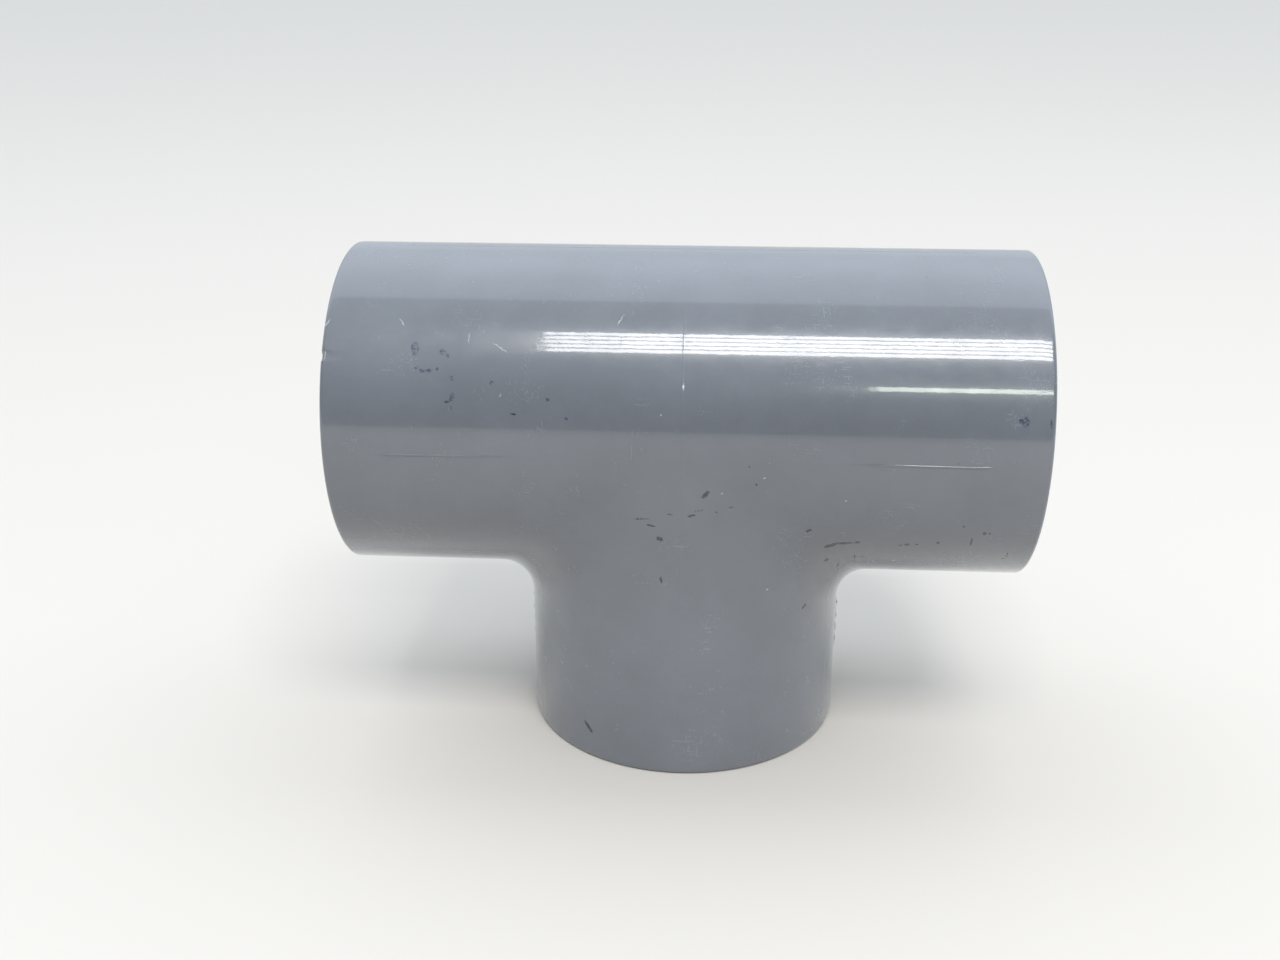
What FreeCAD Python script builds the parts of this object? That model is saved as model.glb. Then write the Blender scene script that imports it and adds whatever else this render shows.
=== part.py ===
import FreeCAD, Part
import Sketcher
import os

# Equal tee pipe fitting, nominal 3/4 inch, Schedule 80, with three solvent-weld sockets.
# One injection moulding. The run lies along X and the branch points down. The origin is the centre
# of the branch's mouth, so the fitting stands on z = 0 and the run's axis is at z = centre_to_end.
# Lengths are millimetres.

TOLERANCE = 1e-3

# Driving dimensions: alias, value, what it is.
DIMENSIONS = [
    ("body_radius", 19.15, "outside of the run and of the branch"),
    ("centre_to_end", 39.7, "from the crossing of the axes to each mouth"),
    ("socket_radius", 13.36, "pipe socket, mean of its mouth and its bottom"),
    ("socket_depth", 25.4, "pipe socket, from the mouth to the pipe stop"),
    ("waterway_radius", 9.9, "passage between the pipe stops"),
    ("mouth_chamfer", 0.8, "lead-in at each mouth"),
    ("rim_radius", 0.5, "rounding of the outer edge of each mouth"),
    ("crotch_radius", 4.8, "blend outside, between the run and the branch"),
    ("block_reach", 32.55, "from the centre to the end of the mould's middle block"),
    ("flash_height", 0.06, "flash at the mould's parting plane"),
    ("flash_width", 0.3, "flash at the mould's parting plane"),
    ("ring_height", 0.03, "witness line midway along the run"),
    ("ring_width", 0.18, "witness line midway along the run"),
    ("seam_height", 0.11, "witness lines along the run's sides"),
    ("seam_width", 0.24, "witness lines along the run's sides"),
    ("seam_start", 13.4, "witness lines along the run's sides, nearest the centre"),
    ("gate_height", 0.25, "stub left by each trimmed gate, on the branch's sides"),
    ("gate_width", 1.6, "stub left by each trimmed gate"),
    ("gate_top", 25.2, "from the run's axis down to the stubs' upper end"),
    ("gate_bottom", 32.0, "from the run's axis down to the stubs' lower end"),
]

HALF = "dims.centre_to_end"
BODY = "dims.body_radius"
SOCKET = "dims.socket_radius"
WATERWAY = "dims.waterway_radius"
CHAMFER = "dims.mouth_chamfer"
REACH = "dims.block_reach"
STOP = "(dims.centre_to_end - dims.socket_depth)"
LEAD_IN = "(dims.centre_to_end - dims.mouth_chamfer)"
FLASH = "(dims.body_radius + dims.flash_height)"
CROTCH = "(dims.body_radius + dims.crotch_radius)"
RING = "(dims.body_radius + dims.ring_height)"
SEAM = "(dims.body_radius + dims.seam_height)"
GATE = "(dims.body_radius + dims.gate_height)"


def make_sheet(doc):
    """Makes the spreadsheet of driving dimensions, one aliased cell each."""
    sheet = doc.addObject("Spreadsheet::Sheet", "dims")
    for row, (alias, value, note) in enumerate(DIMENSIONS, start=1):
        sheet.set(f"A{row}", alias)
        sheet.set(f"B{row}", str(value))
        sheet.set(f"C{row}", note)
        sheet.setAlias(f"B{row}", alias)
    doc.recompute()


def new_sketch(body, name, role, lift=None):
    """Makes a sketch on one of the body's origin planes.

    lift names the local direction, y or z, that moves the sketch up to the run's axis.
    """
    plane = next(f for f in body.Origin.OriginFeatures if f.Role == role)
    sketch = body.newObject("Sketcher::SketchObject", name)
    sketch.AttachmentSupport = [(plane, "")]
    sketch.MapMode = "FlatFace"
    if lift:
        sketch.setExpression(f"AttachmentOffset.Base.{lift}", HALF)
    return sketch


def bind(sketch, expression, *constraint):
    """Adds a dimension to a sketch and binds it to the spreadsheet."""
    index = sketch.addConstraint(Sketcher.Constraint(*constraint))
    sketch.setExpression(f"Constraints[{index}]", expression)


def draw_circle(sketch, radius):
    """Draws a circle round the sketch's origin."""
    value = sketch.evalExpression(radius)
    sketch.addGeometry(Part.Circle(FreeCAD.Vector(0, 0, 0), FreeCAD.Vector(0, 0, 1), value), False)
    sketch.addConstraint(Sketcher.Constraint("Coincident", 0, 3, -1, 1))
    bind(sketch, radius, "Radius", 0, value)


def crotch_arc(start, end, radius):
    """An arc from start to end that bulges towards the sketch's origin."""
    chord = end - start
    across = FreeCAD.Vector(chord.y, -chord.x, 0).normalize()
    middle = (start + end) * 0.5
    if across.dot(middle) > 0:
        across = across * -1
    sagitta = radius - (radius**2 - (chord.Length / 2) ** 2) ** 0.5
    return Part.Arc(start, middle + across * sagitta, end)


def draw_outline(sketch, corners, arcs=()):
    """Draws a closed outline through corners, each one a pair of expressions.

    arcs lists pairs of a side's number and its radius; every other side is straight.
    """
    radii = dict(arcs)
    points = [
        FreeCAD.Vector(sketch.evalExpression(x), sketch.evalExpression(y), 0) for x, y in corners
    ]
    ends = []
    for side, start in enumerate(points):
        end = points[(side + 1) % len(points)]
        if side in radii:
            shape = crotch_arc(start, end, sketch.evalExpression(radii[side]))
        else:
            shape = Part.LineSegment(start, end)
        sketch.addGeometry(shape, False)
        forward = sketch.getPoint(side, 1).distanceToPoint(start) < TOLERANCE
        ends.append((1, 2) if forward else (2, 1))
    for side, (x, y) in enumerate(corners):
        before = side - 1 if side else len(corners) - 1
        sketch.addConstraint(
            Sketcher.Constraint("Coincident", before, ends[before][1], side, ends[side][0])
        )
        bind(sketch, x, "DistanceX", -1, 1, side, ends[side][0], points[side].x)
        bind(sketch, y, "DistanceY", -1, 1, side, ends[side][0], points[side].y)
    for side, radius in radii.items():
        bind(sketch, radius, "Radius", side, sketch.evalExpression(radius))


def box_corners(x0, x1, y0, y1):
    """The corners of a rectangle, as pairs of expressions."""
    return [(x0, y0), (x1, y0), (x1, y1), (x0, y1)]


def pad(body, name, sketch, length, both_ways):
    """Pads a sketch, to both sides of it or to its front."""
    feature = body.newObject("PartDesign::Pad", name)
    feature.Profile = sketch
    feature.SideType = "Symmetric" if both_ways else "One side"
    feature.setExpression("Length", length)
    body.Document.recompute()


def revolve(body, name, sketch, axis):
    """Turns a sketch's outline all the way round one of the sketch's axes."""
    feature = body.newObject("PartDesign::Revolution", name)
    feature.Profile = sketch
    feature.ReferenceAxis = (sketch, [axis])
    feature.Angle = 360
    body.Document.recompute()


def groove(body, name, sketch, axis):
    """Cuts a sketch's outline all the way round one of the sketch's axes."""
    before = body.Shape.Volume
    feature = body.newObject("PartDesign::Groove", name)
    feature.Profile = sketch
    feature.ReferenceAxis = (sketch, [axis])
    feature.Angle = 360
    body.Document.recompute()
    if body.Shape.Volume >= before:
        raise RuntimeError(f"{name} removes nothing")


def round_edges(body, name, radius, wanted):
    """Fillets those edges of the body that wanted() accepts."""
    base = body.Tip
    edges = [f"Edge{i}" for i, edge in enumerate(base.Shape.Edges, start=1) if wanted(edge)]
    feature = body.newObject("PartDesign::Fillet", name)
    feature.Base = (base, edges)
    feature.setExpression("Radius", radius)
    body.Document.recompute()


def is_outer_crossing(edge):
    """True where the run's and the branch's outsides cross."""
    return isinstance(edge.Curve, (Part.Ellipse, Part.BSplineCurve))


def is_rim(edge):
    """True for the edge round a mouth, before the sockets are cut."""
    box = edge.BoundBox
    at_run_end = box.XLength < TOLERANCE and abs(box.XMin) > box.YLength / 2 + TOLERANCE
    at_branch_end = box.ZMax < TOLERANCE
    return at_run_end or at_branch_end


def make_outside(body):
    """The run and the branch, two crossing cylinders, with blended crotches and rounded rims."""
    run = new_sketch(body, "run_outline", "XZ_Plane", "y")
    draw_outline(run, box_corners(f"-{HALF}", HALF, "0", BODY))
    revolve(body, "run", run, "H_Axis")
    branch = new_sketch(body, "branch_outline", "XY_Plane")
    draw_circle(branch, BODY)
    pad(body, "branch", branch, HALF, False)
    round_edges(body, "crotch", "dims.crotch_radius", is_outer_crossing)
    round_edges(body, "rims", "dims.rim_radius", is_rim)


def make_flash(body):
    """A thin T-shaped web in the plane of the axes, proud of the outside as flash."""
    sketch = new_sketch(body, "flash_outline", "XZ_Plane", "y")
    corners = [
        (REACH, f"-{FLASH}"),
        (REACH, FLASH),
        (f"-{REACH}", FLASH),
        (f"-{REACH}", f"-{FLASH}"),
        (f"-{CROTCH}", f"-{FLASH}"),
        (f"-{FLASH}", f"-{CROTCH}"),
        (f"-{FLASH}", f"-{REACH}"),
        (FLASH, f"-{REACH}"),
        (FLASH, f"-{CROTCH}"),
        (CROTCH, f"-{FLASH}"),
    ]
    radius = "dims.crotch_radius - dims.flash_height"
    draw_outline(sketch, corners, [(4, radius), (8, radius)])
    pad(body, "flash", sketch, "dims.flash_width", True)


def make_ring(body):
    """A thin web in the plane midway along the run: a ring over the run, a line down the branch."""
    over = new_sketch(body, "ring_outline", "YZ_Plane", "y")
    draw_circle(over, RING)
    pad(body, "ring", over, "dims.ring_width", True)
    down = new_sketch(body, "branch_line_outline", "YZ_Plane", "y")
    draw_outline(down, box_corners(f"-{RING}", RING, f"-{REACH}", "0"))
    pad(body, "branch_line", down, "dims.ring_width", True)


def make_seams(body):
    """Thin webs in the horizontal plane of the run's axis, one near each end of the run."""
    for name, start, end in (
        ("right", "dims.seam_start", REACH),
        ("left", f"-{REACH}", "-dims.seam_start"),
    ):
        sketch = new_sketch(body, f"seam_outline_{name}", "XY_Plane", "z")
        draw_outline(sketch, box_corners(start, end, f"-{SEAM}", SEAM))
        pad(body, f"seam_{name}", sketch, "dims.seam_width", True)


def make_gates(body):
    """A thin plate through the branch, proud of both its sides as stubs of the trimmed gates."""
    sketch = new_sketch(body, "gate_outline", "XZ_Plane", "y")
    draw_outline(sketch, box_corners(f"-{GATE}", GATE, "-dims.gate_bottom", "-dims.gate_top"))
    pad(body, "gate", sketch, "dims.gate_width", True)


def make_bores(body):
    """Each bore in one cut: sockets with their lead-ins, pipe stops and the waterway."""
    run = new_sketch(body, "run_bore_outline", "XZ_Plane", "y")
    half_profile = [
        (STOP, WATERWAY),
        (STOP, SOCKET),
        (LEAD_IN, SOCKET),
        (HALF, f"{SOCKET} + {CHAMFER}"),
        (HALF, "0"),
    ]
    mirrored = [(f"-{x}", y) for x, y in reversed(half_profile)]
    draw_outline(run, mirrored + half_profile)
    groove(body, "run_bore", run, "H_Axis")
    branch = new_sketch(body, "branch_bore_outline", "XZ_Plane", "y")
    down = [(y, f"-{x}") for x, y in half_profile]
    draw_outline(branch, [("0", "0"), (WATERWAY, "0")] + down)
    groove(body, "branch_bore", branch, "V_Axis")


def check(doc, body):
    """Raises an error unless every object is up to date and the body is one valid solid."""
    for item in doc.Objects:
        if {"Invalid", "Error"} & set(item.State):
            raise RuntimeError(f"{item.Name}: {item.State}")
    shape = body.Shape
    if shape.isNull() or not shape.isValid() or len(shape.Solids) != 1:
        raise RuntimeError(f"{body.Label} isn't one valid solid")


def build():
    """Models the fitting and writes its step file."""
    os.makedirs("parts", exist_ok=True)
    doc = FreeCAD.newDocument("pipe_tee")
    make_sheet(doc)
    body = doc.addObject("PartDesign::Body", "tee_body")
    body.Label = "tee_body"
    make_outside(body)
    make_flash(body)
    make_ring(body)
    make_seams(body)
    make_gates(body)
    make_bores(body)
    doc.recompute()
    check(doc, body)
    body.Shape.exportStep(f"parts/{body.Label}.step")


build()
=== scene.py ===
import math

import bmesh
import bpy
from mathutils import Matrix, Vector


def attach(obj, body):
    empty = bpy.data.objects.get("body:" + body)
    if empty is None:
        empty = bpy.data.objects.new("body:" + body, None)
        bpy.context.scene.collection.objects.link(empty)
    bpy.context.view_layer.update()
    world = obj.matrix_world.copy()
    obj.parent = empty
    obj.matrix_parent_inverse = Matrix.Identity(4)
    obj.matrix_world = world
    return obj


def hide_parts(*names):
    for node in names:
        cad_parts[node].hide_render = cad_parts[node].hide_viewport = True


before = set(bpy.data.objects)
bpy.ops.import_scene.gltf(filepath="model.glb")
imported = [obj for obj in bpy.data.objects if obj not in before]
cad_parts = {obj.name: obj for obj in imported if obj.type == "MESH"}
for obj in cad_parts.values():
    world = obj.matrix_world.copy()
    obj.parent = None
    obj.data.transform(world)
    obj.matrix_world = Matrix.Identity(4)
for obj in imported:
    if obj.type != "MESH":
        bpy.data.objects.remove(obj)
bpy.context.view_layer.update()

# A grey PVC tee pipe fitting, standing on its branch on a pale floor.
# Lengths in the constants below are millimetres. Objects are in metres, in the CAD's frame.

MM = 0.001

# The tee: centre to mouth, outer radius, the crotch's blend and how much it grows to the front,
# and the rim, socket and waterway. STOP is from the centre to the pipe stops.
HALF = 39.7
BODY = 19.15
CROTCH = 4.8
CROTCH_GROWTH = 4
RIM = 0.5
SOCKET = 13.36
STOP = 14.3
WATERWAY = 9.9
CHAMFER = 0.8

# The mould's lines: flash at y = 0, a ring round the run at x = 0, and seams along the run's sides.
FLASH_HEIGHT = 0.05
FLASH_HALF_WIDTH = 0.15
BLOCK_REACH = 32.5
RING_HEIGHT = 0.010
RING_HALF_WIDTH = 0.1
SEAM_HEIGHT = 0.105
SEAM_HALF_WIDTH = 0.12
SEAM_START = 13.4

# The torn gate stubs, with the two ends measured down from the run's axis.
GATE_HEIGHT = 0.24
GATE_HALF_WIDTH = 0.8
GATE_TOP = 25.2
GATE_BOTTOM = 32.0

# The nick in the left-hand rim: its angle above the parting line at the side, and its size.
NICK_ANGLE = 32.5
NICK_RADIUS = 0.75
NICK_DEPTH = 0.35

PVC_COLOUR = (0.161, 0.173, 0.197, 1.0)
INK_COLOUR = (0.02, 0.02, 0.075, 1.0)
DIRT_COLOUR = (0.03, 0.03, 0.04, 1.0)
# Pale grey for scuffs and wear, and for two painted glints.
SCUFF_AND_GLINT_COLOUR = (0.6, 0.64, 0.66, 1.0)
FLOOR_COLOUR = (0.715, 0.665, 0.61, 1.0)

# Scratches: their directions in radians, and their size in mm.
SCRATCH_TURNS = (0.05, 0.8, 1.7, 2.5)
SCRATCH_SIZE = (2.6, 0.16, 0.16)

# The lamps, in metres and degrees: each stands 1 m from the run's axis.
LOUVRES = 5
LOUVRE_SPACING = 0.052
LOUVRE_SIZE = (0.55, 0.037)
LOUVRE_SLOPE = 61.2
LOUVRE_ALONG = 0.13
LOUVRE_RADIANCE = 15.0
LOUVRE_COLOUR = (0.99, 0.985, 0.98)
THIN_SIZE = (0.30, 0.05)
THIN_SLOPE = 32.0
THIN_ALONG = 0.275
THIN_RADIANCE = 14.0
THIN_COLOUR = (0.9, 1.0, 0.88)
ROOM_COLOUR = (0.79, 0.87, 0.955, 1.0)

# The camera: degrees round and up, and its distance and aim as multiples of the body's radius.
AZIMUTH = 3.684
ELEVATION = 21.44
CAMERA_DISTANCE = 8.96
AIM_LEFT = 0.298
AIM_DOWN = 0.513
LENS = 38.93

# Marks on the surface: centre, half of length and width, and tilt in degrees from level.
INK_MARKS = [
    ((-29.3, -15.6, 50.8), 0.5, 0.9, 0),
    ((-29.0, -16.7, 49.0), 0.25, 0.2, 20),
    ((-28.4, -16.9, 48.7), 0.35, 0.16, -20),
    ((-27.6, -16.9, 48.7), 0.4, 0.2, 0),
    ((-26.7, -16.8, 48.9), 0.22, 0.18, 30),
    ((-26.2, -15.8, 50.5), 0.4, 0.3, 0),
    ((-25.6, -16.0, 50.2), 0.2, 0.22, 0),
    ((-25.1, -17.3, 48.0), 0.16, 0.3, 10),
    ((-25.0, -18.0, 46.1), 0.3, 0.5, -20),
    ((-25.6, -18.2, 45.6), 0.35, 0.16, 0),
    ((-25.1, -18.4, 45.0), 0.16, 0.2, 0),
    ((-20.7, -17.4, 47.7), 0.2, 0.25, 0),
    ((-14.5, -18.1, 46.0), 0.25, 0.2, 0),
    ((-12.5, -18.6, 44.1), 0.2, 0.2, 0),
    ((36.2, -18.5, 44.6), 0.75, 0.3, -35),
    ((36.5, -18.5, 44.7), 0.3, 0.7, 10),
    ((39.1, -18.5, 44.6), 0.12, 0.5, 0),
    ((-4.4, -19.0, 32.6), 1.0, 0.14, 4),
    ((-1.2, -19.0, 33.4), 0.35, 0.12, 0),
    ((2.0, -19.0, 33.9), 0.5, 0.13, 8),
    ((5.6, -18.9, 34.2), 0.3, 0.12, 0),
]
DIRT_MARKS = [
    ((-18.3, -18.5, 44.5), 0.35, 0.1, -8),
    ((2.7, -19.0, 35.8), 0.6, 0.26, 45),
    ((7.4, -19.1, 39.2), 0.14, 0.12, 0),
    ((8.2, -19.0, 37.1), 0.12, 0.14, 0),
    ((3.9, -18.7, 33.7), 0.16, 0.12, 0),
    ((1.2, -19.1, 33.3), 0.5, 0.14, 10),
    ((-3.3, -18.9, 31.9), 0.5, 0.13, -8),
    ((-2.3, -19.0, 30.4), 0.45, 0.26, -15),
    ((-2.1, -19.0, 25.4), 0.18, 0.42, 12),
    ((14.2, -17.1, 31.0), 0.4, 0.18, 30),
    ((16.8, -15.6, 28.6), 0.8, 0.3, 25),
    ((18.2, -15.9, 29.1), 1.3, 0.2, 6),
    ((19.8, -16.1, 29.3), 0.35, 0.2, 0),
    ((16.6, -13.4, 26.0), 0.4, 0.35, 20),
    ((18.1, -12.0, 24.7), 0.14, 0.7, -10),
    ((19.8, -14.0, 26.6), 0.12, 0.6, 4),
    ((20.6, -14.0, 26.6), 0.16, 0.09, 0),
    ((14.4, -12.6, 19.4), 0.35, 0.18, 40),
    ((24.6, -15.9, 29.0), 0.22, 0.09, 0),
    ((25.3, -15.9, 29.1), 0.3, 0.16, 0),
    ((26.4, -16.0, 29.2), 0.2, 0.08, 0),
    ((28.7, -16.3, 29.6), 0.22, 0.18, 0),
    ((31.1, -17.6, 32.2), 0.14, 0.14, 0),
    ((33.5, -17.2, 31.2), 0.28, 0.2, 0),
    ((34.1, -17.2, 31.3), 0.16, 0.1, 0),
    ((32.3, -16.4, 29.9), 0.12, 0.8, 0),
    ((36.7, -14.9, 27.7), 0.07, 0.8, 4),
    ((36.4, -14.6, 27.0), 0.3, 0.09, 0),
    ((-10.9, -15.7, 4.0), 1.0, 0.24, -50),
    ((-6.8, -14.9, 51.8), 0.06, 0.85, 0),
    ((-39.6, -16.2, 49.6), 0.3, 0.35, 0),
    ((19.0, -2.2, 14.0), 0.5, 0.8, 0),
    ((19.1, -1.0, 12.0), 0.5, 1.0, 0),
    ((19.1, -1.2, 9.4), 0.5, 1.0, 0),
    ((18.6, -4.8, 12.6), 0.4, 0.5, 10),
    ((18.8, -3.7, 9.2), 0.4, 0.35, 0),
    ((-18.5, -4.9, 13.4), 0.4, 0.4, 10),
    ((-18.1, -6.3, 15.6), 0.25, 0.5, -30),
    ((-19.1, -1.2, 11.6), 0.5, 0.9, -10),
    ((-18.7, -4.0, 8.6), 0.4, 0.5, 20),
]
SCUFF_AND_GLINT_MARKS = [
    ((9.1, -19.1, 37.9), 0.12, 0.1, 0),
    ((4.5, -18.8, 35.9), 0.12, 0.1, 0),
    ((18.0, -18.6, 35.3), 0.14, 0.1, 0),
    ((9.9, -16.4, 23.3), 0.12, 0.12, 0),
    ((-23.4, -14.8, 51.9), 0.05, 0.7, 2),
    ((-19.9, -15.4, 51.0), 1.1, 0.06, -27),
    ((-7.0, -13.0, 53.7), 0.06, 0.9, -35),
    ((-31.0, -13.6, 53.2), 0.5, 0.06, -45),
    # A painted glint on the ring line.
    ((0.1, -17.5, 47.5), 0.13, 0.3, 0),
    ((-2.3, -18.5, 44.7), 0.1, 0.14, 0),
    ((-19.7, -17.9, 46.4), 0.22, 0.06, 40),
    ((-39.3, -13.8, 53.0), 0.5, 0.09, 50),
    # A painted glint in the nick of the left-hand rim.
    ((-39.2, -16.1, 50.0), 0.13, 0.4, 0),
]


# ---------------------------------------------------------------- sampling

def refined(low, high, step, fine):
    """Numbers from low to high, step apart, and closer together round each centre in fine.

    fine maps a centre to the offsets that are added on both sides of it.
    """
    count = max(1, round((high - low) / step))
    values = {round(low + (high - low) * i / count, 6) for i in range(count + 1)}
    for centre, offsets in fine.items():
        for offset in offsets:
            for value in (centre - offset, centre + offset):
                if low <= value <= high:
                    values.add(round(value, 6))
    return sorted(values)


# Angles round the run and the branch, in degrees from the parting plane.
# The parting flash is at 0 and the other witness lines are at 90.
ANGLES = refined(
    -90, 90, 1.5,
    {
        0: (0, 0.22, 0.4, 0.5, 0.9),
        90: (0, 0.15, 0.28, 0.4, 0.8),
        -90: (0, 0.15, 0.28, 0.4, 0.8),
        NICK_ANGLE - 90: (0, 0.4, 0.8, 1.2, 1.6, 2.0),
    },
)
# Places along the run or the branch, as a fraction from the centre to the mouth.
ALONG = refined(
    0, 1, 0.03,
    {0: (0, 0.0013, 0.0026, 0.005), SEAM_START / HALF: (0,), BLOCK_REACH / HALF: (0, 0.004, 0.008)},
)
ACROSS_CROTCH = [i / 12 for i in range(13)]


# ---------------------------------------------------------------- fitting

def ridge(distance, half_width):
    """A rounded ridge's profile: 1 on its line, 0 from half_width away."""
    if abs(distance) >= half_width:
        return 0.0
    return math.cos(distance / half_width * math.pi / 2) ** 0.5


def fade(value, start, end):
    """0 before start, 1 after end, smooth between."""
    part = min(1.0, max(0.0, (value - start) / (end - start)))
    return part * part * (3 - 2 * part)


def gate_stub(point):
    """Height of the torn stub of a trimmed gate, on the branch's sides."""
    x, y, z = point
    if abs(x) < BODY * 0.9 or abs(y) > GATE_HALF_WIDTH:
        return 0.0
    top = fade(-z, GATE_TOP - 0.3, GATE_TOP + 0.4)
    bottom = fade(z, -GATE_BOTTOM - 0.3, -GATE_BOTTOM + 0.4)
    torn = math.sin(5.3 * z + 1.7 * y + x) * math.sin(2.1 * z - 2.9 * y) + 0.6 * math.sin(9.7 * z)
    edge = fade(GATE_HALF_WIDTH - abs(y), 0.0, 0.35)
    return GATE_HEIGHT * top * bottom * edge * min(1.0, max(0.15, 0.55 + 0.4 * torn))


def mould_lines(point):
    """Height of the mould's lines at a point on the outside, with the run's axis at z = 0."""
    x, y, z = point
    reach = max(abs(x), -z)
    inside_block = 1 - fade(reach, BLOCK_REACH - 0.05, BLOCK_REACH + 0.3)
    uneven = 0.75 + 0.25 * math.sin(0.9 * x + 0.4) * math.sin(0.63 * z + 1.1 + 0.37 * x)
    flash = FLASH_HEIGHT * uneven * ridge(y, FLASH_HALF_WIDTH) * inside_block
    ring = RING_HEIGHT * ridge(x, RING_HALF_WIDTH) * inside_block
    growth = fade(abs(x), SEAM_START, BLOCK_REACH)
    on_side = ridge(z, SEAM_HALF_WIDTH) if abs(y) > BODY * 0.9 else 0.0
    seam = SEAM_HEIGHT * growth * on_side * inside_block
    return max(flash, ring, seam) + gate_stub(point)


def add_grid(mesh, rows):
    """Adds a grid of quads through rows of points."""
    grid = [[mesh.verts.new(point) for point in row] for row in rows]
    for row, below in zip(grid, grid[1:]):
        for i in range(len(row) - 1):
            mesh.faces.new((row[i], row[i + 1], below[i + 1], below[i]))


def blend(crotch, angle):
    """The blend's radius at an angle: crotch at the sides, growing to the front and back."""
    return crotch * (1 + CROTCH_GROWTH * math.sin(math.radians(angle)) ** 6)


def outward(radius, angle, crotch):
    """How far from the centre the crossing's edge is, at an angle."""
    return (radius + blend(crotch, angle)) * math.cos(math.radians(angle))


def run_point(x, radius, angle, side):
    """A point round the run; side is 1 for its upper half and -1 for its lower half."""
    turn = math.radians(angle)
    return Vector((x, radius * math.sin(turn), side * radius * math.cos(turn)))


def branch_point(depth, radius, angle, side):
    """A point round the branch; side is 1 for its right half and -1 for its left half."""
    turn = math.radians(angle)
    return Vector((side * radius * math.cos(turn), radius * math.sin(turn), -depth))


def crotch_row(radius, crotch, angle, side):
    """Points across the blend between the run and the branch."""
    edge = outward(radius, angle, crotch)
    start = run_point(side * edge, radius, angle, -1)
    end = branch_point(edge, radius, angle, side)
    turn = math.radians(angle)
    size = blend(crotch, angle)
    centre = Vector((side * edge, (radius + size) * math.sin(turn), -edge))
    if (start - end).length < 1e-6:
        return [start for _ in ACROSS_CROTCH]
    first = (start - centre).normalized()
    last = (end - centre).normalized()
    return [centre + first.slerp(last, part) * size for part in ACROSS_CROTCH]


def add_junction(mesh, radius, crotch, reach):
    """Adds the run and the branch as crossing tubes, each out to reach, blended by crotch."""
    for side in (1, -1):
        add_grid(mesh, [
            [run_point(side * part * reach, radius, angle, 1) for part in ALONG]
            for angle in ANGLES
        ])
        lower = []
        branch = []
        for angle in ANGLES:
            edge = outward(radius, angle, crotch)
            places = [edge + (reach - edge) * part for part in ALONG]
            lower.append([run_point(side * place, radius, angle, -1) for place in places])
            branch.append([branch_point(place, radius, angle, side) for place in places])
        add_grid(mesh, lower)
        add_grid(mesh, branch)
        if crotch:
            add_grid(mesh, [crotch_row(radius, crotch, angle, side) for angle in ANGLES])


def mouth_profile():
    """The section of a mouth, as distances from the centre and radii, from outside to waterway."""
    profile = []
    for i in range(7):
        turn = math.radians(15 * i)
        profile.append((HALF - RIM + RIM * math.sin(turn), BODY - RIM + RIM * math.cos(turn)))
    face_inner = SOCKET + CHAMFER
    for part in (0.33, 0.67, 1.0):
        profile.append((HALF, BODY - RIM + (face_inner - BODY + RIM) * part))
    profile.append((HALF - CHAMFER, SOCKET))
    depth = HALF - CHAMFER - STOP
    for part in (0.04, 0.25, 0.5, 0.75, 0.96, 1.0):
        profile.append((HALF - CHAMFER - depth * part, SOCKET))
    profile.append((STOP, SOCKET - 0.3))
    profile.append((STOP, WATERWAY + 0.3))
    profile.append((STOP, WATERWAY))
    return profile


def add_mouths(mesh):
    """Adds the rim, socket and pipe stop at each of the three ends."""
    profile = mouth_profile()
    for side in (1, -1):
        for half in (1, -1):
            add_grid(mesh, [
                [run_point(side * place, radius, angle, half) for place, radius in profile]
                for angle in ANGLES
            ])
        add_grid(mesh, [
            [branch_point(place, radius, angle, side) for place, radius in profile]
            for angle in ANGLES
        ])


def raise_mould_lines(mesh):
    """Lifts the outside's vertices along the mould's lines."""
    mesh.normal_update()
    for vert in mesh.verts:
        x, y, z = vert.co
        from_run = math.hypot(y, z)
        from_branch = math.hypot(x, y) if z < 0 else from_run
        outside = min(from_run, from_branch) > BODY - 0.01
        end = max(abs(x), -z) > HALF - RIM
        if outside and not end:
            vert.co += vert.normal * mould_lines(vert.co)


def nick_rim(mesh):
    """Dents the left-hand rim where it has been knocked."""
    turn = math.radians(NICK_ANGLE)
    centre = Vector((-HALF, -BODY * math.cos(turn), BODY * math.sin(turn)))
    for vert in mesh.verts:
        near = 1 - (vert.co - centre).length / NICK_RADIUS
        if near > 0:
            outward_here = Vector((-0.8, 0.9 * centre.y / BODY, 0.9 * centre.z / BODY))
            vert.co -= outward_here * NICK_DEPTH * near


def make_fitting():
    """Makes the fitting's mesh, in the CAD's frame."""
    mesh = bmesh.new()
    add_junction(mesh, BODY, CROTCH, HALF - RIM)
    add_junction(mesh, WATERWAY, 0.0, STOP)
    add_mouths(mesh)
    bmesh.ops.remove_doubles(mesh, verts=mesh.verts, dist=1e-4)
    bmesh.ops.recalc_face_normals(mesh, faces=mesh.faces)
    raise_mould_lines(mesh)
    nick_rim(mesh)
    for vert in mesh.verts:
        vert.co = Vector((vert.co.x, vert.co.y, vert.co.z + HALF)) * MM
    data = bpy.data.meshes.new("tee_visual")
    mesh.to_mesh(data)
    mesh.free()
    data.shade_smooth()
    data.set_sharp_from_angle(angle=math.radians(28))
    piece = bpy.data.objects.new("tee_visual", data)
    bpy.context.collection.objects.link(piece)
    return piece


# ---------------------------------------------------------------- materials

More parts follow.
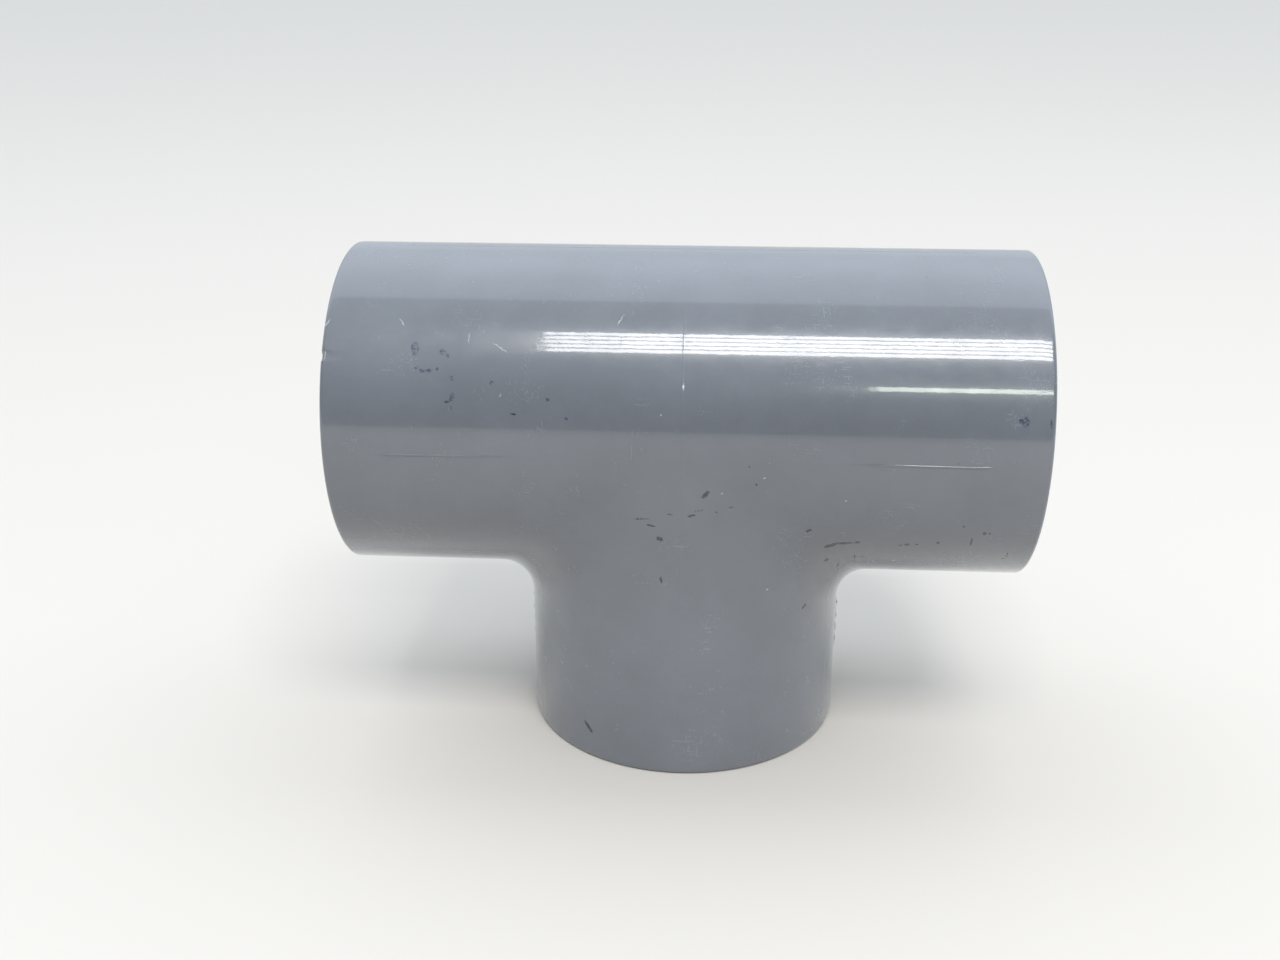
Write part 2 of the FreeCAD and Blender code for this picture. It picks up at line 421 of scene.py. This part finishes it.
class Nodes:
    """Builds a node tree, one short call per node."""

    def __init__(self, tree):
        tree.nodes.clear()
        self.tree = tree

    def add(self, kind, settings=None, **inputs):
        """Adds a node. Inputs are values or the outputs of other nodes; _n means socket n."""
        node = self.tree.nodes.new(kind)
        for name, value in (settings or {}).items():
            setattr(node, name, value)
        for name, value in inputs.items():
            key = int(name[1:]) if name[0] == "_" else name.replace("_", " ")
            if isinstance(value, bpy.types.NodeSocket):
                self.tree.links.new(value, node.inputs[key])
            else:
                node.inputs[key].default_value = value
        return node

    def math(self, operation, first, second=0.0, clamp=False):
        """A Math node's output."""
        settings = {"operation": operation, "use_clamp": clamp}
        return self.add("ShaderNodeMath", settings, _0=first, _1=second).outputs[0]

    def noise(self, vector, scale, detail=3.0, rough=0.5):
        """A Noise texture's height."""
        node = self.add(
            "ShaderNodeTexNoise", None, Vector=vector, Scale=scale, Detail=detail, Roughness=rough
        )
        return node.outputs[0]

    def ramp(self, value, low, high, at_low=0.0, at_high=1.0):
        """Value mapped from low..high to at_low..at_high, smooth and clamped."""
        settings = {"interpolation_type": "SMOOTHSTEP"}
        node = self.add(
            "ShaderNodeMapRange", settings, _0=value, _1=low, _2=high, _3=at_low, _4=at_high
        )
        return node.outputs[0]

    def turned(self, vector, centre, turn, size):
        """Coordinates measured from a centre, along turned axes, in units of size."""
        settings = {"vector_type": "TEXTURE"}
        node = self.add(
            "ShaderNodeMapping", settings, Vector=vector, Location=centre, Rotation=turn, Scale=size
        )
        return node.outputs[0]

    def marks(self, vector, marks):
        """1 on any of the marks, 0 off them, with soft edges."""
        total = 0.0
        for centre, length, width, tilt in marks:
            turn = (0.0, math.radians(-tilt), 0.0)
            local = self.turned(vector, centre, turn, (length, 0.7, width))
            settings = {"operation": "LENGTH"}
            distance = self.add("ShaderNodeVectorMath", settings, _0=local).outputs[1]
            total = self.math("MAXIMUM", total, self.ramp(distance, 0.7, 1.15, 1.0, 0.0))
        return total

    def mix(self, factor, first, second):
        """Two colours mixed."""
        settings = {"data_type": "RGBA"}
        return self.add("ShaderNodeMix", settings, _0=factor, _6=first, _7=second).outputs[2]


def worn_patches(nodes, place):
    """Short scratches in several directions, in patches."""
    scratches = 0.0
    for turn in SCRATCH_TURNS:
        centre = (3.0 * turn, 0.0, 0.0)
        lined = nodes.turned(place, centre, (0.0, turn, 0.7 * turn), SCRATCH_SIZE)
        fibre = nodes.ramp(nodes.noise(lined, 1.0, 0.0), 0.7, 0.8)
        scratches = nodes.math("MAXIMUM", scratches, fibre)
    patches = nodes.ramp(nodes.noise(place, 0.16, 2.0), 0.55, 0.7)
    return nodes.math("MULTIPLY", scratches, patches)


def plastic_colour_and_painted_light(nodes, place, worn):
    """The plastic's colour: mottled, pale where worn, and with painted light that makes it lighter
    towards the branch's mouth.
    """
    cloud = nodes.noise(place, 0.09, 4.0, 0.6)
    grain = nodes.noise(place, 2.0, 2.0, 0.6)
    height_for_painted_light = nodes.add("ShaderNodeSeparateXYZ", None, _0=place).outputs[2]
    tone = nodes.math("ADD", nodes.ramp(cloud, 0.3, 0.7, -0.06, 0.06), 1.0)
    tone = nodes.math("MULTIPLY", tone, nodes.ramp(grain, 0.2, 0.8, 0.985, 1.015))
    # Painted light: up to 17% lighter near the floor, towards the branch's mouth.
    tone = nodes.math("MULTIPLY", tone, nodes.ramp(height_for_painted_light, 0.0, 38.0, 1.17, 1.0))
    settings = {"operation": "SCALE"}
    shade = nodes.add("ShaderNodeVectorMath", settings, _0=PVC_COLOUR[:3], Scale=tone)
    return nodes.mix(nodes.math("MULTIPLY", worn, 0.06), shade.outputs[0], SCUFF_AND_GLINT_COLOUR)


def add_specks(nodes, place, colour):
    """The colour with sparse specks of dirt."""
    specks = nodes.add("ShaderNodeTexVoronoi", None, Vector=place, Scale=0.3)
    pick = nodes.add("ShaderNodeSeparateXYZ", None, _0=specks.outputs["Color"])
    size = nodes.ramp(pick.outputs[0], 0.8, 1.0, 0.0, 0.035)
    dirt = nodes.math("LESS_THAN", specks.outputs["Distance"], size)
    return nodes.mix(nodes.math("MULTIPLY", dirt, 0.6), colour, DIRT_COLOUR)


def ragged(nodes, place):
    """Coordinates moved about a little, so that marks get ragged edges."""
    wander = nodes.add("ShaderNodeTexNoise", None, Vector=place, Scale=3.5, Detail=2.0)
    offset = nodes.add(
        "ShaderNodeVectorMath", {"operation": "MULTIPLY_ADD"},
        _0=wander.outputs["Color"], _1=(0.35, 0.35, 0.35), _2=(-0.175, -0.175, -0.175),
    )
    near = nodes.add("ShaderNodeVectorMath", {"operation": "ADD"}, _0=place, _1=offset.outputs[0])
    return near.outputs[0]


def add_marks(nodes, place, colour):
    """The colour with the ink marks, dirt marks, scuffs and two painted glints."""
    near = ragged(nodes, place)
    patchy = nodes.ramp(nodes.noise(place, 4.0, 2.0), 0.4, 0.6, 0.12, 0.75)
    ink = nodes.math("MULTIPLY", nodes.marks(near, INK_MARKS), patchy)
    colour = nodes.mix(ink, colour, INK_COLOUR)
    streaky = nodes.ramp(nodes.noise(place, 3.0, 1.0), 0.3, 0.55, 0.7, 1.0)
    dirty = nodes.math("MULTIPLY", nodes.marks(near, DIRT_MARKS), streaky)
    colour = nodes.mix(dirty, colour, DIRT_COLOUR)
    # Scuffs, and the painted glints on the ring line and in the rim's nick.
    scuffs_and_glints = nodes.math("MULTIPLY", nodes.marks(near, SCUFF_AND_GLINT_MARKS), 0.5)
    return nodes.mix(scuffs_and_glints, colour, SCUFF_AND_GLINT_COLOUR)


def surface_bump(nodes, place, worn):
    """The bump of the moulded skin and the scratches."""
    skin = nodes.math("MULTIPLY", nodes.noise(place, 0.9, 3.0, 0.55), 0.6)
    height = nodes.math("ADD", nodes.math("MULTIPLY", worn, -0.15), skin)
    bump = nodes.add("ShaderNodeBump", None, Strength=0.28, Distance=0.00002, Height=height)
    return bump.outputs[0]


def pvc_material():
    """Moulded grey PVC: faint mottling, fine scratches, scuffs, ink marks and specks of dirt, with
    painted light towards the branch's mouth and two painted glints.
    """
    material = bpy.data.materials.new("grey_pvc")
    material.use_nodes = True
    nodes = Nodes(material.node_tree)
    place = nodes.add("ShaderNodeTexCoord").outputs["Object"]
    place = nodes.turned(place, (0.0, 0.0, 0.0), (0.0, 0.0, 0.0), (MM, MM, MM))
    worn = worn_patches(nodes, place)
    colour = plastic_colour_and_painted_light(nodes, place, worn)
    colour = add_specks(nodes, place, colour)
    colour = add_marks(nodes, place, colour)
    bump = surface_bump(nodes, place, worn)
    rough = nodes.ramp(nodes.noise(place, 0.5, 4.0, 0.65), 0.3, 0.75, 0.16, 0.28)
    rough = nodes.math("ADD", rough, nodes.math("MULTIPLY", worn, 0.12))
    shader = nodes.add(
        "ShaderNodeBsdfPrincipled",
        None,
        Base_Color=colour,
        Roughness=rough,
        IOR=1.5,
        Coat_Weight=0.85,
        Coat_Roughness=0.035,
        Coat_IOR=1.5,
        Normal=bump,
        Coat_Normal=bump,
    )
    nodes.add("ShaderNodeOutputMaterial", None, Surface=shader.outputs[0])
    return material


def floor_material():
    """Matt white card."""
    material = bpy.data.materials.new("white_card")
    material.use_nodes = True
    nodes = Nodes(material.node_tree)
    shader = nodes.add(
        "ShaderNodeBsdfPrincipled", None, Base_Color=FLOOR_COLOUR, Roughness=0.9,
        Specular_IOR_Level=0.1
    )
    nodes.add("ShaderNodeOutputMaterial", None, Surface=shader.outputs[0])
    return material


# ---------------------------------------------------------------- studio

def make_floor():
    """A large plain floor at z = 0."""
    mesh = bmesh.new()
    bmesh.ops.create_grid(mesh, x_segments=8, y_segments=8, size=6.0)
    data = bpy.data.meshes.new("floor")
    mesh.to_mesh(data)
    mesh.free()
    floor = bpy.data.objects.new("floor", data)
    data.materials.append(floor_material())
    bpy.context.collection.objects.link(floor)


def add_panel(name, centre, target, width, height, radiance, colour):
    """Adds a rectangular area light that faces target; width is along X where it can be."""
    light = bpy.data.lights.new(name, "AREA")
    light.shape = "RECTANGLE"
    light.size = width
    light.size_y = height
    light.color = colour
    light.energy = radiance * width * height * math.pi
    lamp = bpy.data.objects.new(name, light)
    lamp.location = centre
    aim = Vector(target) - Vector(centre)
    lamp.rotation_euler = aim.to_track_quat("-Z", "Y").to_euler()
    lamp.visible_camera = False
    bpy.context.collection.objects.link(lamp)


def add_lamp(name, slope, along, shift, size, radiance, colour):
    """Adds a lamp 1 m in front of the run's axis, slope degrees up, facing the axis.

    along moves it to the right, and shift moves it up across its beam.
    """
    turn = math.radians(slope)
    back = Vector((0.0, -math.cos(turn), math.sin(turn)))
    up = Vector((0.0, math.sin(turn), math.cos(turn)))
    centre = Vector((0.0, 0.0, HALF * MM)) + back + up * shift + Vector((along, 0.0, 0.0))
    add_panel(name, centre, centre - back, size[0], size[1], radiance, colour)


def make_lights():
    """A long louvred lamp in front, and a thin one lower down."""
    for i in range(LOUVRES):
        shift = LOUVRE_SPACING * (i - LOUVRES // 2)
        add_lamp(
            f"lamp_{i}", LOUVRE_SLOPE, LOUVRE_ALONG, shift,
            LOUVRE_SIZE, LOUVRE_RADIANCE, LOUVRE_COLOUR,
        )
    add_lamp("thin_lamp", THIN_SLOPE, THIN_ALONG, 0.0, THIN_SIZE, THIN_RADIANCE, THIN_COLOUR)


def make_world():
    """Soft room light: bright behind the object, dim in front and dimmer near the horizon."""
    world = bpy.data.worlds.new("room")
    world.use_nodes = True
    nodes = Nodes(world.node_tree)
    towards = nodes.add("ShaderNodeTexCoord").outputs["Generated"]
    parts = nodes.add("ShaderNodeSeparateXYZ", None, _0=towards)
    front = nodes.ramp(parts.outputs[2], 0.0, 0.4, 0.1, 0.36)
    glow = nodes.ramp(parts.outputs[2], 0.35, 0.85, 0.0, 0.8)
    behind = nodes.ramp(parts.outputs[1], 0.07, 0.095, 0.0, 1.0)
    falling = nodes.ramp(parts.outputs[1], 0.1, 0.9, 1.0, 0.65)
    behind = nodes.math("MULTIPLY", behind, falling)
    strength = nodes.math("ADD", nodes.math("ADD", front, glow), behind)
    light = nodes.add(
        "ShaderNodeBackground", None, Color=ROOM_COLOUR, Strength=strength
    )
    nodes.add("ShaderNodeOutputWorld", None, Surface=light.outputs[0])
    bpy.context.scene.world = world


def make_camera():
    """The camera: in front, a little to the right and 21 degrees above."""
    azimuth = math.radians(AZIMUTH)
    elevation = math.radians(ELEVATION)
    back = Vector((
        math.sin(azimuth) * math.cos(elevation),
        -math.cos(azimuth) * math.cos(elevation),
        math.sin(elevation),
    ))
    aim = Vector((-AIM_LEFT * BODY, 0.0, HALF - AIM_DOWN * BODY)) * MM
    data = bpy.data.cameras.new("camera")
    data.sensor_width = 36.0
    data.lens = LENS
    data.clip_start = 0.01
    camera = bpy.data.objects.new("camera", data)
    camera.location = aim + back * (CAMERA_DISTANCE * BODY * MM)
    camera.rotation_euler = (-back).to_track_quat("-Z", "Y").to_euler()
    bpy.context.collection.objects.link(camera)
    bpy.context.scene.camera = camera


def build():
    """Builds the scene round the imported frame."""
    make_camera()
    make_floor()
    make_lights()
    make_world()
    fitting = make_fitting()
    fitting.data.materials.append(pvc_material())
    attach(fitting, "root")
    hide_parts("tee_body")
    bpy.context.scene.view_settings.view_transform = "Standard"


build()
